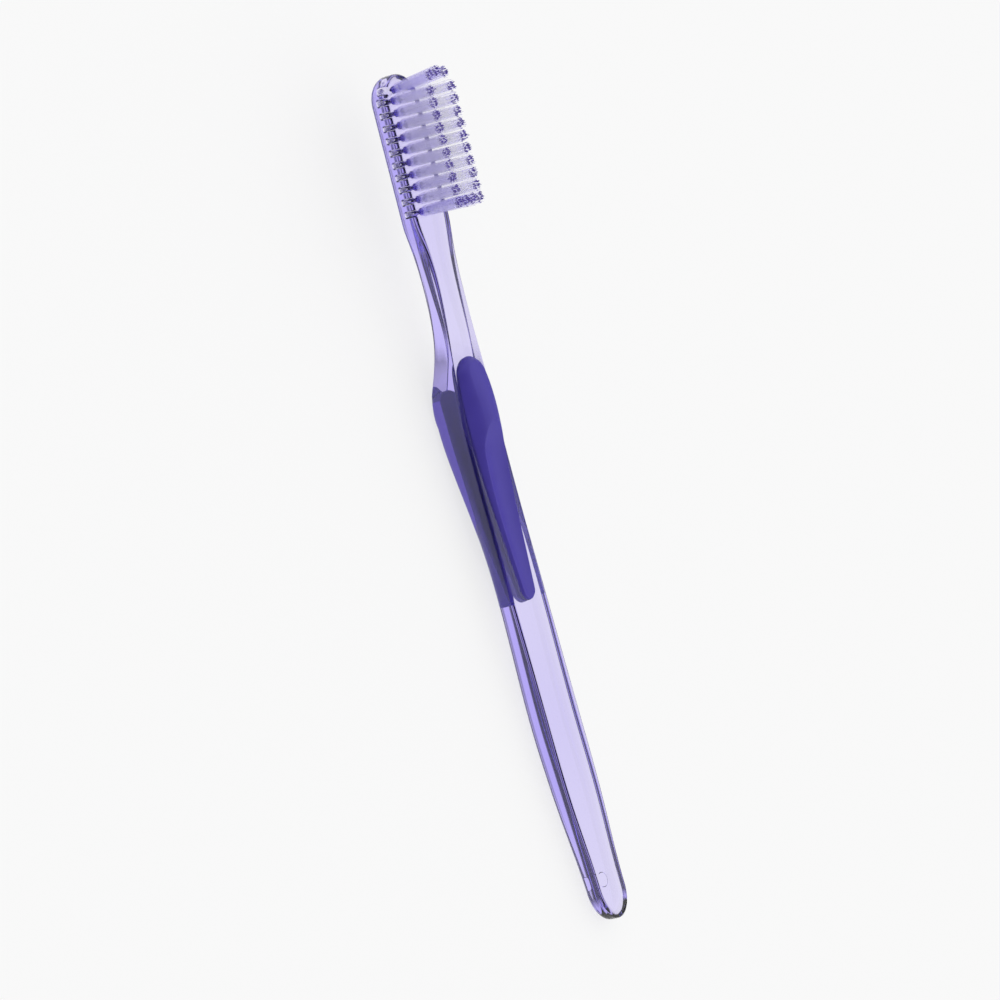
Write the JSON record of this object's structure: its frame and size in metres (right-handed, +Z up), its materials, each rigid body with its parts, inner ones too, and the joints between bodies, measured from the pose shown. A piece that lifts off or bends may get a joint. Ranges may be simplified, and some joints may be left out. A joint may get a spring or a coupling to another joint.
{
  "type": "toothbrush",
  "caption": "Manual toothbrush with a clear violet moulded handle, inlaid rubber thumb and palm grips, a tilted head and rows of violet and white bristle tufts",
  "frame": {"origin": "On the table under the middle of the brush, which lies on its back with the bristles up", "axes": "+X from the toe of the head to the tail, +Y across the handle, +Z up along the bristles"},
  "size_m": [0.1901, 0.013, 0.0263],
  "materials": {
    "clear_violet_plastic": "clear tinted, polished mould",
    "violet_rubber": "satin",
    "violet_bristle": "fine filaments",
    "white_bristle": "fine filaments",
    "anchor_brass": "bare sheet"
  },
  "bodies": {
    "root": {"anchors_row_01": "anchor_brass", "anchors_row_02": "anchor_brass", "anchors_row_03": "anchor_brass", "anchors_row_04": "anchor_brass", "anchors_row_05": "anchor_brass", "anchors_row_06": "anchor_brass", "anchors_row_07": "anchor_brass", "anchors_row_08": "anchor_brass", "anchors_row_09": "anchor_brass", "anchors_row_10": "anchor_brass", "anchors_row_11": "anchor_brass", "handle": "clear_violet_plastic", "heel_tuft_1": "violet_bristle", "heel_tuft_2": "violet_bristle", "heel_tuft_3": "violet_bristle", "heel_tuft_4": "violet_bristle", "inner_tuft_02_far": "white_bristle", "inner_tuft_02_near": "white_bristle", "inner_tuft_03_far": "white_bristle", "inner_tuft_03_near": "white_bristle", "inner_tuft_04_far": "white_bristle", "inner_tuft_04_near": "white_bristle", "inner_tuft_05_far": "white_bristle", "inner_tuft_05_near": "white_bristle", "inner_tuft_06_far": "white_bristle", "inner_tuft_06_near": "white_bristle", "inner_tuft_07_far": "white_bristle", "inner_tuft_07_near": "white_bristle", "inner_tuft_08_far": "white_bristle", "inner_tuft_08_near": "white_bristle", "inner_tuft_09_far": "white_bristle", "inner_tuft_09_near": "white_bristle", "inner_tuft_10_far": "white_bristle", "inner_tuft_10_near": "white_bristle", "palm_grip": "violet_rubber", "side_tuft_02_far": "violet_bristle", "side_tuft_02_near": "violet_bristle", "side_tuft_03_far": "violet_bristle", "side_tuft_03_near": "violet_bristle", "side_tuft_04_far": "violet_bristle", "side_tuft_04_near": "violet_bristle", "side_tuft_05_far": "violet_bristle", "side_tuft_05_near": "violet_bristle", "side_tuft_06_far": "violet_bristle", "side_tuft_06_near": "violet_bristle", "side_tuft_07_far": "violet_bristle", "side_tuft_07_near": "violet_bristle", "side_tuft_08_far": "violet_bristle", "side_tuft_08_near": "violet_bristle", "side_tuft_09_far": "violet_bristle", "side_tuft_09_near": "violet_bristle", "side_tuft_10_far": "violet_bristle", "side_tuft_10_near": "violet_bristle", "thumb_grip": "violet_rubber", "toe_tuft_1": "violet_bristle", "toe_tuft_2": "violet_bristle", "toe_tuft_3": "violet_bristle"}
  },
  "joints": []
}
